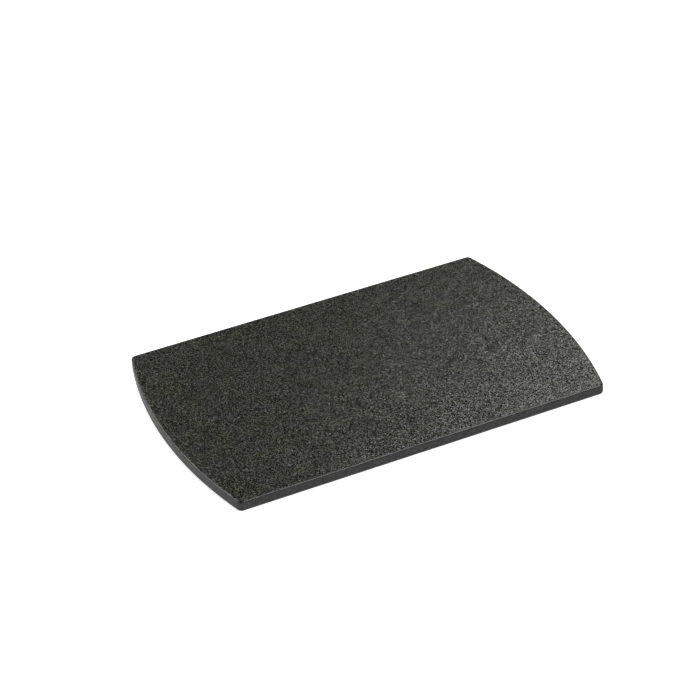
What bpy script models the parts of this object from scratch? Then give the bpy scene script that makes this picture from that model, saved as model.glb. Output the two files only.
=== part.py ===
"""Basalt massage stone: one flat slab, sawn from a single piece of rock.

Its two long sides are straight and its two ends bow outwards. The corners between them are rounded,
and the edges of the top and bottom faces are eased all round, so that nothing sharp meets the skin.

Frame: the origin is the centre of the underside, +X runs along the length, +Y across the width and
+Z up through the thickness. Every size is in metres.
"""

import math

import bmesh
import bpy

# Sizes of the finished stone
LENGTH = 0.300  # over the crowns of the two bowed ends
WIDTH = 0.200  # from one straight side to the other
THICKNESS = 0.008
END_BOW = 0.014  # how far an end's crown stands out past the corners beside it
CORNER_RADIUS = 0.003  # upright rounding between a long side and an end
ARRIS_RADIUS = 0.0016  # easing round the top and bottom faces

# Fineness of the round stretches
END_STEPS = 24  # straight steps from a crown to a corner
CORNER_STEPS = 8
ARRIS_STEPS = 6
RIM_ANGLE = math.radians(45)  # sharper than any step of the outline, blunter than a rim
WELD = 0.00001

STONE_COLOUR = (0.046, 0.047, 0.042, 1.0)
STONE_ROUGHNESS = 0.6


def clear_scene():
    for old in list(bpy.data.objects):
        bpy.data.objects.remove(old)


def new_collection(name):
    collection = bpy.data.collections.new(name)
    bpy.context.scene.collection.children.link(collection)
    return collection


def arc(centre_x, centre_y, radius, start, end, steps):
    """Points along a circle from the start angle to the end angle, both ends included."""
    angles = (start + (end - start) * step / steps for step in range(steps + 1))
    return [
        (centre_x + radius * math.cos(angle), centre_y + radius * math.sin(angle))
        for angle in angles
    ]


def quarter_outline():
    """From the crown of the +X end, along the bow and round the corner, to the +Y side."""
    half_width = WIDTH / 2
    bow_radius = (half_width**2 + END_BOW**2) / (2 * END_BOW)
    bow_centre_x = LENGTH / 2 - bow_radius
    # The corner's circle touches the bow from inside and the straight side.
    corner_y = half_width - CORNER_RADIUS
    corner_x = bow_centre_x + math.sqrt((bow_radius - CORNER_RADIUS) ** 2 - corner_y**2)
    meeting_angle = math.atan2(corner_y, corner_x - bow_centre_x)
    bow = arc(bow_centre_x, 0, bow_radius, 0, meeting_angle, END_STEPS)
    corner = arc(corner_x, corner_y, CORNER_RADIUS, meeting_angle, math.pi / 2, CORNER_STEPS)
    return bow + corner[1:]


def slab_outline():
    """The whole outline, anticlockwise seen from above: the quarter mirrored over both axes."""
    right_back = quarter_outline()
    back = right_back + [(-x, y) for x, y in reversed(right_back)]
    front = [(x, -y) for x, y in reversed(back)]
    return back + front[1:-1]


def outline_curve(name):
    """The outline as a flat filled curve, thickened up and down by half the thickness."""
    points = slab_outline()
    curve = bpy.data.curves.new(name, "CURVE")
    curve.dimensions = "2D"
    curve.fill_mode = "BOTH"
    curve.extrude = THICKNESS / 2
    spline = curve.splines.new("POLY")
    spline.points.add(len(points) - 1)
    for point, (x, y) in zip(spline.points, points):
        point.co = (x, y, 0, 1)
    spline.use_cyclic_u = True
    return bpy.data.objects.new(name, curve)


def as_welded_mesh(curve_object, name):
    """The curve's caps and sides as one closed mesh, raised to stand on its underside.

    Each cap becomes one face, so that the easing has no inner edges to run into.
    """
    graph = bpy.context.evaluated_depsgraph_get()
    mesh = bpy.data.meshes.new_from_object(curve_object.evaluated_get(graph))
    mesh.name = name
    shell = bmesh.new()
    shell.from_mesh(mesh)
    bmesh.ops.remove_doubles(shell, verts=shell.verts, dist=WELD)
    bmesh.ops.translate(shell, verts=shell.verts, vec=(0, 0, THICKNESS / 2))
    bmesh.ops.recalc_face_normals(shell, faces=shell.faces)
    caps = [face for face in shell.faces if abs(face.normal.z) > math.cos(RIM_ANGLE)]
    bmesh.ops.dissolve_faces(shell, faces=caps)
    shell.to_mesh(mesh)
    shell.free()
    return mesh


def ease_rims(stone):
    """Rounds the rims of the top and bottom faces. The upright steps of the outline stay."""
    bevel = stone.modifiers.new("eased_rims", "BEVEL")
    bevel.width = ARRIS_RADIUS
    bevel.use_clamp_overlap = False
    bevel.segments = ARRIS_STEPS
    bevel.limit_method = "ANGLE"
    bevel.angle_limit = RIM_ANGLE


def basalt():
    material = bpy.data.materials.new("basalt")
    material.use_nodes = True
    surface = material.node_tree.nodes["Principled BSDF"]
    surface.inputs["Base Color"].default_value = STONE_COLOUR
    surface.inputs["Roughness"].default_value = STONE_ROUGHNESS
    surface.inputs["Metallic"].default_value = 0.0
    material.diffuse_color = STONE_COLOUR
    return material


def basalt_slab(collection):
    guide = outline_curve("slab_outline")
    collection.objects.link(guide)
    mesh = as_welded_mesh(guide, "basalt_slab")
    bpy.data.objects.remove(guide)
    mesh.materials.append(basalt())
    slab = bpy.data.objects.new("basalt_slab", mesh)
    collection.objects.link(slab)
    ease_rims(slab)
    mesh.shade_smooth()
    mesh.set_sharp_from_angle(angle=RIM_ANGLE)
    return slab


def main():
    clear_scene()
    basalt_slab(new_collection("basalt_massage_stone"))


main()
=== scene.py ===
"""Looks of the basalt massage stone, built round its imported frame.

The stone's skin is one closed mesh from a Geometry Nodes tree: a cube's grid, rounded in plan and at
the rims, bowed at the ends, then worn. It has three finishes: a blasted top face, ground sides with eased
rims, and a sawn underside. Sizes are in metres. The stone's outline and the camera's place follow the
frame's box.
"""

import math

import bmesh
import bpy
from mathutils import Matrix, Vector


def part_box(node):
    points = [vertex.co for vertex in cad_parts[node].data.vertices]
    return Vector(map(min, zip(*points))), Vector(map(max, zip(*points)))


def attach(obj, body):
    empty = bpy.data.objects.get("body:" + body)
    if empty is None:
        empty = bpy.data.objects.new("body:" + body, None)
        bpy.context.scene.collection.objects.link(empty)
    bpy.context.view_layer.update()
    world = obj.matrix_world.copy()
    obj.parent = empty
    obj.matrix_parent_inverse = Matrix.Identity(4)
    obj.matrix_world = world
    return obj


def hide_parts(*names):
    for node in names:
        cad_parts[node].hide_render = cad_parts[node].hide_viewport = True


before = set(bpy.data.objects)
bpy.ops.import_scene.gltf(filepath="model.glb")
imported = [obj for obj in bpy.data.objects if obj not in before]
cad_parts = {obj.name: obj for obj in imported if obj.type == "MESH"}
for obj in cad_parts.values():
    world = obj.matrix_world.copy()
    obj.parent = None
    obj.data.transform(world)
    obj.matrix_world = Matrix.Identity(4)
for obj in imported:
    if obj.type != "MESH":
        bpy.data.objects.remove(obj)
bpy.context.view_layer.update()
low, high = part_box("basalt_slab")
LENGTH, WIDTH, THICKNESS = high - low
MM = 0.001

# Shape of the stone, beside its three overall sizes
END_BOW = 0.07 * WIDTH  # how far an end's crown stands out past its corners
CORNER_RADIUS = 0.015 * WIDTH
RIM_EASING = 0.2 * THICKNESS
SKIN_PITCH = 1.25 * MM  # side of a grid cell on the flat faces
RIM_CELLS = 4  # cells across the half of an easing that belongs to one face
SIDE_CELLS = 4  # cells up the flat part of a side
CUBE_SIDE = 2.0  # of the grid at first, so that its coordinates run from -1 to 1
LEAST_LENGTH = 0.000001  # stands in for nothing where a length divides
NOISE_MIDDLE = 0.5  # of any noise, and of each part of a crystal's own random colour

# Wear and unevenness of the skin: depths, and the sizes of their features
FACE_WAVE = 0.05 * MM
FACE_WAVE_SIZE = 38 * MM
BLAST_RELIEF = 0.03 * MM
BLAST_RELIEF_SIZE = 3.2 * MM
RIM_WEAR = 0.10 * MM
RIM_WEAR_SIZE = 9 * MM
CHIP_DEPTH = 0.22 * MM
CHIP_SIZE = 5 * MM
CHIP_RARITY = 0.66  # noise above this is a chip
CHIP_SLOPE = 0.06  # how far above it the chip reaches its full depth
WEAR_SEED = 7.0

# Upward part of a normal past which a rim begins to take on its face's unevenness, then its finish
FACE_FADE = 0.85
FACE_EDGE = 0.93

# Finishes: sizes
CRYSTAL_SIZE = 0.65 * MM
CLUSTER_SIZE = 2.5  # crystals across a cluster of pale ones
CLUSTER_SHARE = 0.2  # of what makes a crystal pale; the rest is its own chance
PALE_SLOPE = 0.45  # how far above the rarity a crystal is fully pale
PATCH_SIZE = 12 * MM  # of the cloudy mottling
RUB_SIZE = 6 * MM  # of the patches that handling has dulled on a rim
LINE_SPACING = 0.4 * MM  # of the grinding lines
LINE_SQUEEZE = 0.025  # how much their pattern is squeezed along the stone, which draws it out
SAW_SPACING = 1.6 * MM
BLADE_CENTRE = (0.4 * LENGTH, -1.6 * WIDTH, 0)

# Finishes: from where to where in a noise or a mask its effect grows from nothing to full
NOISE_RANGE = (0.3, 0.7)
WARMTH_RANGE = (0.4, 0.6)
RUBBED_RANGE = (0.45, 0.65)
BROKEN_RANGE = (0.2, 0.7)
EASED_FULL = 0.6  # these two grow from 0
PALE_FULL = 0.6

# Finishes: how they shine
FACE_SPECULAR = 0.78
FACE_ROUGHNESS = (0.18, 0.6)  # of the dark matrix and of the pale crystals
SIDE_SPECULAR = 0.38
SIDE_ROUGHNESS = (0.46, 0.7)
EASED_CHANGE = -0.40  # of a side's roughness, on a rim
RUBBED_CHANGE = 0.08
BROKEN_CHANGE = 0.3
SAWN_SPECULAR = 0.4
SAWN_ROUGHNESS = (0.45, 0.7)
FACET_HEIGHT = 0.25  # the share of the crystals' lean that shows
LINE_HEIGHT = 0.025 * MM
SAW_HEIGHT = 0.1 * MM

# Camera and studio
# A bearing is in degrees from the front, above 0 towards the right and below 0 towards the left.
CAMERA_AZIMUTH = -22.97
CAMERA_ELEVATION = 32.98
CAMERA_ROLL = -4.066
CAMERA_DISTANCE = 8.172 * WIDTH
CAMERA_AIM = Vector((0.0399 * WIDTH, 0.1943 * WIDTH, 0.0))
CAMERA_LENS = 117.47  # millimetres, as the sensor's width is
CAMERA_SENSOR = 36
FLOOR_RADIUS = 40 * WIDTH
FLOOR_SIDES = 96
FLOOR_COLOUR = (0.9, 0.9, 0.9, 1)
FLOOR_ROUGHNESS = 0.9
FLOOR_GLOW = 0.6  # so that the stone leaves hardly a shadow on it
WHITE = (1, 1, 1, 1)
WORLD_STRENGTH = 0.02

# Broad light: name, bearing, height and spread in degrees, strength in watts a square metre
BROAD_LIGHT = ("broad_front", 40, 50, 45, 1.58)
BROAD_LIGHT_DISTANCE = 2.0  # metres; its light doesn't depend on it
# Softboxes: name, bearing and height in degrees, distance, width and height in metres, power in watts
SOFTBOXES = (
    ("front_softbox", 27, 38, 1.8, 1.0, 0.8, 6.0),
    ("front_right_softbox", 60, 55, 0.9, 0.45, 0.45, 1.3),
    ("left_softbox", -90, 45, 1.5, 0.9, 0.9, 2.5),
    ("rear_left_softbox", -122, 34, 1.5, 0.8, 0.7, 7.0),
    ("far_left_softbox", -155, 32, 1.5, 0.8, 0.7, 5.5),
    ("rear_right_softbox", 140, 42, 1.8, 0.4, 0.4, 2.4),
    ("right_softbox", 125, 36, 1.8, 0.4, 0.4, 1.8),
)


def add_node(tree, kind, settings=None, inputs=None):
    """A new node with its properties set and its inputs fed by sockets or by plain values."""
    node = tree.nodes.new(kind)
    for name, value in (settings or {}).items():
        setattr(node, name, value)
    for key, value in (inputs or {}).items():
        if isinstance(value, bpy.types.NodeSocket):
            tree.links.new(value, node.inputs[key])
        else:
            node.inputs[key].default_value = value
    return node


def calc(tree, operation, *values, clamp=False):
    settings = {"operation": operation, "use_clamp": clamp}
    return add_node(tree, "ShaderNodeMath", settings, dict(enumerate(values))).outputs[0]


def ramp(tree, value, start, end, low_value=0.0, high_value=1.0, kind="LINEAR"):
    """The value carried from the range start..end to low_value..high_value, and held beyond it."""
    inputs = {"Value": value, "From Min": start, "From Max": end}
    inputs["To Min"] = low_value
    inputs["To Max"] = high_value
    return add_node(tree, "ShaderNodeMapRange", {"interpolation_type": kind}, inputs).outputs["Result"]


def split(tree, vector):
    return add_node(tree, "ShaderNodeSeparateXYZ", inputs={0: vector}).outputs


def merge(tree, x, y, z):
    return add_node(tree, "ShaderNodeCombineXYZ", inputs={0: x, 1: y, 2: z}).outputs[0]


def vector_calc(tree, operation, *values):
    settings = {"operation": operation}
    node = add_node(tree, "ShaderNodeVectorMath", settings, dict(enumerate(values)))
    return node.outputs["Value" if operation in ("DOT_PRODUCT", "LENGTH") else "Vector"]


def scaled(tree, vector, scale):
    inputs = {"Vector": vector, "Scale": scale}
    return add_node(tree, "ShaderNodeVectorMath", {"operation": "SCALE"}, inputs).outputs[0]


def noise(tree, vector, size, detail=2.0, seed=0.0, roughness=0.5):
    """Even noise about 0.5, whose features are about this size."""
    inputs = {"Vector": vector, "Scale": calc(tree, "DIVIDE", 1.0, size), "Detail": detail}
    inputs["W"] = seed
    inputs["Roughness"] = roughness
    return add_node(tree, "ShaderNodeTexNoise", {"noise_dimensions": "4D"}, inputs).outputs[0]


def bump(tree, height, distance):
    return add_node(tree, "ShaderNodeBump", inputs={"Height": height, "Distance": distance}).outputs[0]


def group_with(kind, name, inputs, outputs):
    """A new node group with named sockets, and its input and output nodes."""
    group = bpy.data.node_groups.new(name, kind)
    for direction, sockets in (("INPUT", inputs), ("OUTPUT", outputs)):
        for label, kind_of_value in sockets:
            socket_type = "NodeSocket" + kind_of_value
            group.interface.new_socket(label, in_out=direction, socket_type=socket_type)
    given = group.nodes.new("NodeGroupInput").outputs
    return group, given, group.nodes.new("NodeGroupOutput").inputs


# The stone's shape


def rim_spaced(tree, coordinate, half, easing, rim_share):
    """A cube coordinate from -1 to 1 as a length: the outer cells share the easing evenly."""
    size = calc(tree, "ABSOLUTE", coordinate)
    flat = ramp(tree, size, 0.0, rim_share, 0.0, calc(tree, "SUBTRACT", half, easing))
    outer = ramp(tree, size, rim_share, 1.0, 0.0, easing)
    return calc(tree, "MULTIPLY", calc(tree, "ADD", flat, outer), calc(tree, "SIGN", coordinate))


def diagonal_of(tree, across, up):
    """Length of the slanting line over both, kept off zero so that it can divide."""
    squares = (calc(tree, "POWER", side, 2.0) for side in (across, up))
    return calc(tree, "MAXIMUM", calc(tree, "SQRT", calc(tree, "ADD", *squares)), LEAST_LENGTH)


def past(tree, length, limit):
    """How far a length reaches past a limit, or nothing."""
    return calc(tree, "MAXIMUM", calc(tree, "SUBTRACT", calc(tree, "ABSOLUTE", length), limit), 0.0)


def stone_outline(tree, size, cube):
    """Rounds the cube's grid in plan and at its rims and bows its ends. Gives position and easing."""
    half_length, half_width, half_thickness = (
        calc(tree, "MULTIPLY", size[name], 0.5) for name in ("Length", "Width", "Thickness")
    )
    easing = size["Rim easing"]
    corner = size["Corner radius"]
    shares = (size["Flat share along"], size["Flat share across"], size["Flat share through"])
    halves = (half_length, half_width, half_thickness)
    x, y, z = (
        rim_spaced(tree, axis, half, easing, share) for axis, half, share in zip(cube, halves, shares)
    )
    # In plan, what lies past the straight stretches is turned from a square corner into a round one.
    over_x = past(tree, x, calc(tree, "SUBTRACT", half_length, corner))
    over_y = past(tree, y, calc(tree, "SUBTRACT", half_width, corner))
    reach = calc(tree, "MAXIMUM", over_x, over_y)
    diagonal = diagonal_of(tree, over_x, over_y)
    # In section, the last stretch towards the side is turned the same way.
    out = past(tree, reach, calc(tree, "SUBTRACT", corner, easing))
    rise = past(tree, z, calc(tree, "SUBTRACT", half_thickness, easing))
    rounding = calc(tree, "DIVIDE", easing, diagonal_of(tree, out, rise))
    round_out = calc(tree, "MULTIPLY", out, rounding)
    round_rise = calc(tree, "MULTIPLY", rise, rounding)
    plan_reach = calc(tree, "ADD", calc(tree, "SUBTRACT", reach, out), round_out)
    spread = calc(tree, "DIVIDE", plan_reach, diagonal)

    def placed(length, over):
        core = calc(tree, "SUBTRACT", calc(tree, "ABSOLUTE", length), over)
        return calc(tree, "ADD", core, calc(tree, "MULTIPLY", over, spread))

    plan_x = placed(x, over_x)
    plan_y = placed(y, over_y)
    height = calc(tree, "ADD", calc(tree, "SUBTRACT", calc(tree, "ABSOLUTE", z), rise), round_rise)
    # The end is an arc through its crown and its two corners: bow = R - sqrt(R^2 - y^2).
    bow = size["End bow"]
    chord = calc(tree, "ADD", calc(tree, "POWER", half_width, 2.0), calc(tree, "POWER", bow, 2.0))
    radius = calc(tree, "DIVIDE", chord, calc(tree, "MULTIPLY", bow, 2.0))
    leg = calc(tree, "SUBTRACT", calc(tree, "POWER", radius, 2.0), calc(tree, "POWER", plan_y, 2.0))
    drop = calc(tree, "SUBTRACT", radius, calc(tree, "SQRT", leg))
    along = calc(tree, "DIVIDE", plan_x, calc(tree, "SUBTRACT", half_length, corner))
    drawn_in = calc(tree, "MULTIPLY", drop, calc(tree, "MINIMUM", along, 1.0))
    bowed_x = calc(tree, "SUBTRACT", plan_x, drawn_in)
    position = merge(
        tree,
        calc(tree, "MULTIPLY", bowed_x, calc(tree, "SIGN", x)),
        calc(tree, "MULTIPLY", plan_y, calc(tree, "SIGN", y)),
        calc(tree, "ADD", calc(tree, "MULTIPLY", height, calc(tree, "SIGN", z)), half_thickness),
    )
    # The product of both parts of the easing's normal is 0 at either face and a half on the way.
    slant = calc(tree, "MULTIPLY", round_out, round_rise)
    eased = calc(tree, "DIVIDE", slant, calc(tree, "POWER", easing, 2.0))
    return position, calc(tree, "MULTIPLY", eased, 2.0)


def stone_wear(tree, size, position, normal, eased):
    """How far the skin stands out along its normal, and the mask of its chips."""
    seed = size["Seed"]

    def uneven(name, detail, offset):
        size_name = name + " size"
        texture = noise(tree, position, size[size_name], detail, calc(tree, "ADD", seed, offset))
        return calc(tree, "MULTIPLY", calc(tree, "SUBTRACT", texture, NOISE_MIDDLE), size[name])

    # The underside stays flat to rest on; only the top face is blasted.
    upward = split(tree, normal)["Z"]
    off_underside = ramp(tree, upward, -1.0, -FACE_FADE)
    wave = calc(tree, "MULTIPLY", uneven("Face wave", detail=1.0, offset=0.0), off_underside)
    blasted = ramp(tree, upward, FACE_FADE, 1.0)
    relief = calc(tree, "MULTIPLY", uneven("Blast relief", detail=2.0, offset=1.0), blasted)
    worn = calc(tree, "MULTIPLY", uneven("Rim wear", detail=2.0, offset=2.0), eased)
    chip_seed = calc(tree, "ADD", seed, 3.0)
    chip_field = noise(tree, position, size["Chip size"], detail=1.0, seed=chip_seed)
    rarity = size["Chip rarity"]
    full = calc(tree, "ADD", rarity, CHIP_SLOPE)
    chip = ramp(tree, chip_field, rarity, full, kind="SMOOTHSTEP")
    chip = calc(tree, "MULTIPLY", chip, eased)
    standing = calc(tree, "ADD", calc(tree, "ADD", wave, relief), worn)
    return calc(tree, "SUBTRACT", standing, calc(tree, "MULTIPLY", chip, size["Chip depth"])), chip


STONE_VALUES = {
    "Length": LENGTH,
    "Width": WIDTH,
    "Thickness": THICKNESS,
    "End bow": END_BOW,
    "Corner radius": CORNER_RADIUS,
    "Rim easing": RIM_EASING,
    "Face wave": FACE_WAVE,
    "Face wave size": FACE_WAVE_SIZE,
    "Blast relief": BLAST_RELIEF,
    "Blast relief size": BLAST_RELIEF_SIZE,
    "Rim wear": RIM_WEAR,
    "Rim wear size": RIM_WEAR_SIZE,
    "Chip depth": CHIP_DEPTH,
    "Chip size": CHIP_SIZE,
    "Chip rarity": CHIP_RARITY,
    "Seed": WEAR_SEED,
}


def cells_over(length):
    """Cells along one side of the cube: even ones on the flat part, then the rim's at both ends."""
    return round((length - 2 * RIM_EASING) / SKIN_PITCH) + 2 * RIM_CELLS


def skin_tree(finishes):
    """Geometry Nodes tree of the stone. finishes: the top face's, the sides' and the underside's."""
    floats = list(STONE_VALUES) + ["Flat share along", "Flat share across", "Flat share through"]
    counts = ["Cells along", "Cells across", "Cells through"]
    inputs = [(name, "Float") for name in floats] + [(name, "Int") for name in counts]
    outputs = [("Stone", "Geometry")]
    tree, size, result = group_with("GeometryNodeTree", "stone_skin", inputs, outputs)
    points = {
        f"Vertices {axis}": calc(tree, "ADD", size[name], 1.0) for axis, name in zip("XYZ", counts)
    }
    grid = {"Size": (CUBE_SIDE,) * 3, **points}
    cube = add_node(tree, "GeometryNodeMeshCube", inputs=grid).outputs["Mesh"]
    place = add_node(tree, "GeometryNodeInputPosition").outputs[0]
    normal = add_node(tree, "GeometryNodeInputNormal").outputs[0]
    position, eased = stone_outline(tree, size, split(tree, place))
    number = {"data_type": "FLOAT"}

    def kept(geometry, name, value):
        inputs = {"Geometry": geometry, "Name": name, "Value": value}
        return add_node(tree, "GeometryNodeStoreNamedAttribute", number, inputs).outputs[0]

    def read(name):
        return add_node(tree, "GeometryNodeInputNamedAttribute", number, {"Name": name}).outputs[0]

    def moved(geometry, key, value):
        inputs = {"Geometry": geometry, key: value}
        return add_node(tree, "GeometryNodeSetPosition", inputs=inputs).outputs[0]

    stone = moved(kept(cube, "eased", eased), "Position", position)
    standing, chip = stone_wear(tree, size, place, normal, read("eased"))
    stone = moved(kept(stone, "chipped", chip), "Offset", scaled(tree, normal, standing))
    upward = split(tree, normal)["Z"]
    # Each finish covers what the one before it did, from a lower edge down.
    below_top = calc(tree, "LESS_THAN", upward, FACE_EDGE)
    on_underside = calc(tree, "LESS_THAN", upward, -FACE_EDGE)
    stone = add_node(tree, "GeometryNodeRealizeInstances", inputs={"Geometry": stone}).outputs[0]
    for finish, where in zip(finishes, (None, below_top, on_underside)):
        inputs = {"Geometry": stone, "Material": finish}
        if where:
            inputs["Selection"] = where
        stone = add_node(tree, "GeometryNodeSetMaterial", inputs=inputs).outputs[0]
    tree.links.new(stone, result["Stone"])
    return tree


def basalt_stone(finishes):
    """The stone as a plain mesh, made once by its Geometry Nodes tree."""
    counts = {
        "Cells along": cells_over(LENGTH),
        "Cells across": cells_over(WIDTH),
        "Cells through": SIDE_CELLS + 2 * RIM_CELLS,
    }
    flat_shares = {
        name.replace("Cells", "Flat share"): 1 - 2 * RIM_CELLS / count
        for name, count in counts.items()
    }
    values = {**STONE_VALUES, **counts, **flat_shares}
    tree = skin_tree(finishes)
    stone = bpy.data.objects.new("basalt_stone", bpy.data.meshes.new("basalt_stone"))
    bpy.context.scene.collection.objects.link(stone)
    skin = stone.modifiers.new("stone_skin", "NODES")
    skin.node_group = tree
    for item in tree.interface.items_tree:
        if item.item_type == "SOCKET" and item.in_out == "INPUT":
            skin[item.identifier] = values[item.name]
    graph = bpy.context.evaluated_depsgraph_get()
    mesh = bpy.data.meshes.new_from_object(stone.evaluated_get(graph))
    stone.modifiers.remove(skin)
    stone.data = mesh
    mesh.name = "basalt_stone"
    mesh.shade_smooth()
    return stone


# Finishes


def crystal_grain_group():
    """Crystals of the rock. Light is 1 on a pale one. Facet is a height that leans each its own way."""
    inputs = [("Vector", "Vector"), ("Crystal size", "Float"), ("Rarity", "Float")]
    outputs = [("Light", "Float"), ("Facet", "Float")]
    group, given, result = group_with("ShaderNodeTree", "crystal_grain", inputs, outputs)
    scale = calc(group, "DIVIDE", 1.0, given["Crystal size"])
    pattern = {"Vector": given["Vector"], "Scale": scale}
    cells = add_node(group, "ShaderNodeTexVoronoi", inputs=pattern)
    chance = split(group, cells.outputs["Color"])["Z"]
    cluster_size = calc(group, "MULTIPLY", given["Crystal size"], CLUSTER_SIZE)
    cluster = noise(group, given["Vector"], cluster_size, detail=1.0)
    own = calc(group, "MULTIPLY", chance, 1 - CLUSTER_SHARE)
    mixed = calc(group, "ADD", own, calc(group, "MULTIPLY", cluster, CLUSTER_SHARE))
    full = calc(group, "ADD", given["Rarity"], PALE_SLOPE)
    group.links.new(ramp(group, mixed, given["Rarity"], full, kind="SMOOTHSTEP"), result["Light"])
    away = vector_calc(group, "SUBTRACT", given["Vector"], cells.outputs["Position"])
    lean = vector_calc(group, "SUBTRACT", cells.outputs["Color"], (NOISE_MIDDLE,) * 3)
    group.links.new(vector_calc(group, "DOT_PRODUCT", away, lean), result["Facet"])
    return group


def soft_mottling_group():
    """Cloudy patches. Brightness is lighter and darker about 1; Warmth runs from 0 to 1."""
    inputs = [("Vector", "Vector"), ("Patch size", "Float"), ("Strength", "Float")]
    outputs = [("Brightness", "Float"), ("Warmth", "Float")]
    group, given, result = group_with("ShaderNodeTree", "soft_mottling", inputs, outputs)
    patches = given["Patch size"]
    cloud = noise(group, given["Vector"], patches, detail=3.0, seed=1.0, roughness=0.6)
    centred = calc(group, "SUBTRACT", cloud, NOISE_MIDDLE)
    change = calc(group, "MULTIPLY", centred, given["Strength"])
    group.links.new(calc(group, "ADD", change, 1.0), result["Brightness"])
    tint = noise(group, given["Vector"], patches, detail=1.0, seed=5.0)
    group.links.new(ramp(group, tint, *WARMTH_RANGE), result["Warmth"])
    return group


def grinding_lines(tree, place):
    """Fine lines that run level round the sides. The height runs from 0 to 1."""
    drawn_out = vector_calc(tree, "MULTIPLY", place, (LINE_SQUEEZE, LINE_SQUEEZE, 1.0))
    return noise(tree, drawn_out, LINE_SPACING, detail=3.0, seed=4.0, roughness=0.7)


def saw_marks(tree, place):
    """Arcs left by a round blade, about a centre past one long side. The height runs from 0 to 1."""
    away = vector_calc(tree, "SUBTRACT", place, BLADE_CENTRE)
    reach = vector_calc(tree, "LENGTH", away)
    across_arcs = merge(tree, reach, 0.0, 0.0)
    return noise(tree, across_arcs, SAW_SPACING, detail=3.0, seed=6.0, roughness=0.6)


def rock_groups():
    return {"grain": crystal_grain_group(), "mottling": soft_mottling_group()}


def use_group(tree, group, inputs):
    return add_node(tree, "ShaderNodeGroup", {"node_tree": group}, inputs).outputs


def read_mask(tree, name):
    return add_node(tree, "ShaderNodeAttribute", {"attribute_name": name}).outputs["Fac"]


def new_finish(name, specular):
    """A new material, its tree, its shader and the place on the stone that its patterns read."""
    material = bpy.data.materials.new(name)
    material.use_nodes = True
    tree = material.node_tree
    shader = tree.nodes["Principled BSDF"]
    shader.inputs["Specular IOR Level"].default_value = specular
    place = tree.nodes.new("ShaderNodeTexCoord").outputs["Object"]
    return material, tree, shader, place


def blend_colour(tree, share, first, second):
    # Of the mix node's sockets, these are its factor, its two colours and its mixed colour.
    inputs = {0: share, 6: first, 7: second}
    return add_node(tree, "ShaderNodeMix", {"data_type": "RGBA"}, inputs).outputs[2]


def rock_colour(tree, crystals, patches, colours):
    """Dark matrix with pale crystals in it, both cool to warm by patches."""
    matrix = blend_colour(tree, patches["Warmth"], colours["cool matrix"], colours["warm matrix"])
    crystal = blend_colour(tree, patches["Warmth"], colours["cool crystal"], colours["warm crystal"])
    return scaled(tree, blend_colour(tree, crystals["Light"], matrix, crystal), patches["Brightness"])


def rock(tree, groups, place, rarity, mottling, colours):
    """The rock's colour and its crystals, for how few are pale and how strong the mottling is."""
    grain = {"Vector": place, "Crystal size": CRYSTAL_SIZE, "Rarity": rarity}
    crystals = use_group(tree, groups["grain"], grain)
    clouds = {"Vector": place, "Patch size": PATCH_SIZE, "Strength": mottling}
    patches = use_group(tree, groups["mottling"], clouds)
    return rock_colour(tree, crystals, patches, colours), crystals


def rim_wear(tree, place):
    """Where handling has dulled a rim, where a knock has broken it, and how far it is eased."""
    eased = read_mask(tree, "eased")
    patches = ramp(tree, noise(tree, place, RUB_SIZE, detail=3.0, seed=9.0), *RUBBED_RANGE)
    rubbed = calc(tree, "MULTIPLY", patches, eased, clamp=True)
    return rubbed, ramp(tree, read_mask(tree, "chipped"), *BROKEN_RANGE), eased


def blasted_face(groups):
    material, tree, shader, place = new_finish("basalt_blasted_face", FACE_SPECULAR)
    colours = {
        "cool matrix": (0.0052, 0.0056, 0.0046, 1),
        "warm matrix": (0.0056, 0.0064, 0.0022, 1),
        "cool crystal": (0.109, 0.114, 0.092, 1),
        "warm crystal": (0.110, 0.118, 0.078, 1),
    }
    colour, crystals = rock(tree, groups, place, rarity=0.52, mottling=1.1, colours=colours)
    tree.links.new(colour, shader.inputs["Base Color"])
    # The matrix is glassy and the pale crystals scatter, so the sheen is grained as well.
    roughness = ramp(tree, crystals["Light"], 0.0, PALE_FULL, *FACE_ROUGHNESS)
    tree.links.new(roughness, shader.inputs["Roughness"])
    tree.links.new(bump(tree, crystals["Facet"], FACET_HEIGHT), shader.inputs["Normal"])
    return material


def ground_side(groups):
    material, tree, shader, place = new_finish("basalt_ground_side", SIDE_SPECULAR)
    colours = {
        "cool matrix": (0.0040, 0.0040, 0.0042, 1),
        "warm matrix": (0.0044, 0.0044, 0.0038, 1),
        "cool crystal": (0.042, 0.042, 0.0415, 1),
        "warm crystal": (0.042, 0.042, 0.0392, 1),
    }
    broken_rock = (0.035, 0.036, 0.033, 1)
    rubbed, broken, eased = rim_wear(tree, place)
    colour, _ = rock(tree, groups, place, rarity=0.5, mottling=0.5, colours=colours)
    tree.links.new(blend_colour(tree, broken, colour, broken_rock), shader.inputs["Base Color"])
    # The easing is rubbed smoother than the side, and is dull again where it is worn or broken.
    lines = grinding_lines(tree, place)
    roughness = ramp(tree, lines, *NOISE_RANGE, *SIDE_ROUGHNESS)
    changes = (
        (eased, EASED_FULL, EASED_CHANGE),
        (rubbed, 1.0, RUBBED_CHANGE),
        (broken, 1.0, BROKEN_CHANGE),
    )
    for mask, full, change in changes:
        roughness = calc(tree, "ADD", roughness, ramp(tree, mask, 0.0, full, 0.0, change))
    tree.links.new(roughness, shader.inputs["Roughness"])
    tree.links.new(bump(tree, lines, LINE_HEIGHT), shader.inputs["Normal"])
    return material


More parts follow.
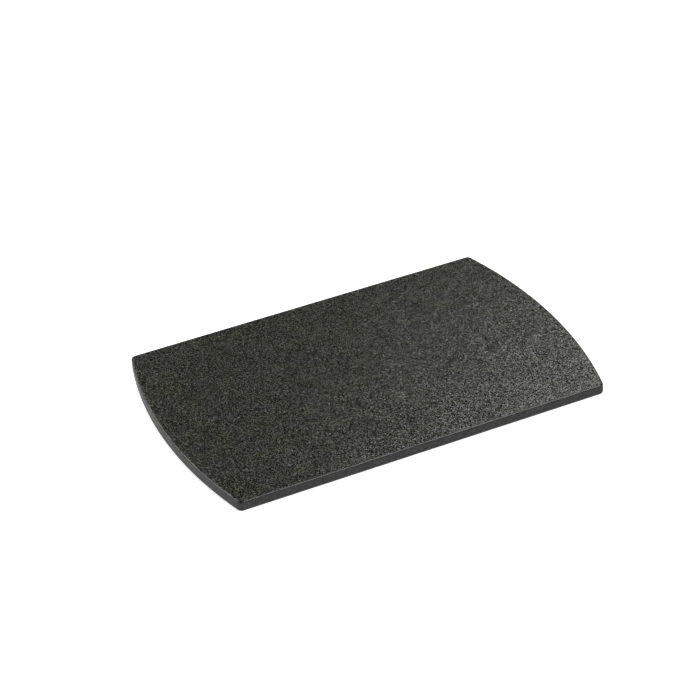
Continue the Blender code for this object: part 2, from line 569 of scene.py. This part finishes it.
def sawn_underside(groups):
    material, tree, shader, place = new_finish("basalt_sawn_underside", SAWN_SPECULAR)
    colours = {
        "cool matrix": (0.014, 0.014, 0.0135, 1),
        "warm matrix": (0.014, 0.0145, 0.012, 1),
        "cool crystal": (0.045, 0.045, 0.043, 1),
        "warm crystal": (0.045, 0.046, 0.038, 1),
    }
    colour, _ = rock(tree, groups, place, rarity=0.45, mottling=0.8, colours=colours)
    tree.links.new(colour, shader.inputs["Base Color"])
    marks = saw_marks(tree, place)
    roughness = ramp(tree, marks, *NOISE_RANGE, *SAWN_ROUGHNESS)
    tree.links.new(roughness, shader.inputs["Roughness"])
    tree.links.new(bump(tree, marks, SAW_HEIGHT), shader.inputs["Normal"])
    return material


# The studio


def studio_floor():
    material = bpy.data.materials.new("pale_floor")
    material.use_nodes = True
    shader = material.node_tree.nodes["Principled BSDF"]
    shader.inputs["Base Color"].default_value = FLOOR_COLOUR
    shader.inputs["Roughness"].default_value = FLOOR_ROUGHNESS
    shader.inputs["Specular IOR Level"].default_value = 0.0
    shader.inputs["Emission Color"].default_value = WHITE
    shader.inputs["Emission Strength"].default_value = FLOOR_GLOW
    mesh = bpy.data.meshes.new("studio_floor")
    disc = bmesh.new()
    bmesh.ops.create_circle(disc, cap_ends=True, segments=FLOOR_SIDES, radius=FLOOR_RADIUS)
    disc.to_mesh(mesh)
    disc.free()
    mesh.materials.append(material)
    floor = bpy.data.objects.new("studio_floor", mesh)
    bpy.context.scene.collection.objects.link(floor)


def facing(azimuth, elevation, roll=0.0):
    """The turn of a camera or lamp that looks from this bearing and height, all in degrees."""
    turns = ((azimuth, "Z"), (90 - elevation, "X"), (roll, "Z"))
    rotation = Matrix.Identity(4)
    for angle, axis in turns:
        rotation = rotation @ Matrix.Rotation(math.radians(angle), 4, axis)
    return rotation


def place_studio(obj, aim, rotation, distance):
    """Puts a camera or a lamp this far from its aim, turned to look at it."""
    bpy.context.scene.collection.objects.link(obj)
    obj.matrix_world = Matrix.Translation(aim) @ rotation @ Matrix.Translation((0, 0, distance))


def softbox(name, azimuth, elevation, distance, width, height, power):
    lamp = bpy.data.lights.new(name, "AREA")
    lamp.shape = "RECTANGLE"
    lamp.size = width
    lamp.size_y = height
    lamp.energy = power
    place_studio(bpy.data.objects.new(name, lamp), Vector(), facing(azimuth, elevation), distance)


def broad_light(name, azimuth, elevation, spread, strength):
    lamp = bpy.data.lights.new(name, "SUN")
    lamp.angle = math.radians(spread)
    lamp.energy = strength
    sun = bpy.data.objects.new(name, lamp)
    place_studio(sun, Vector(), facing(azimuth, elevation), BROAD_LIGHT_DISTANCE)


def studio_world(strength):
    world = bpy.data.worlds.new("studio_air")
    world.use_nodes = True
    air = world.node_tree.nodes["Background"]
    air.inputs["Color"].default_value = WHITE
    air.inputs["Strength"].default_value = strength
    bpy.context.scene.world = world


def studio_camera():
    lens = bpy.data.cameras.new("studio_camera")
    lens.lens = CAMERA_LENS
    lens.sensor_width = CAMERA_SENSOR
    camera = bpy.data.objects.new("studio_camera", lens)
    rotation = facing(CAMERA_AZIMUTH, CAMERA_ELEVATION, CAMERA_ROLL)
    place_studio(camera, CAMERA_AIM, rotation, CAMERA_DISTANCE)
    bpy.context.scene.camera = camera


def studio():
    studio_floor()
    studio_camera()
    studio_world(WORLD_STRENGTH)
    broad_light(*BROAD_LIGHT)
    for lamp in SOFTBOXES:
        softbox(*lamp)
    bpy.context.scene.view_settings.view_transform = "Standard"


def main():
    groups = rock_groups()
    stone = basalt_stone([blasted_face(groups), ground_side(groups), sawn_underside(groups)])
    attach(stone, "root")
    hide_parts("basalt_slab")
    studio()


main()
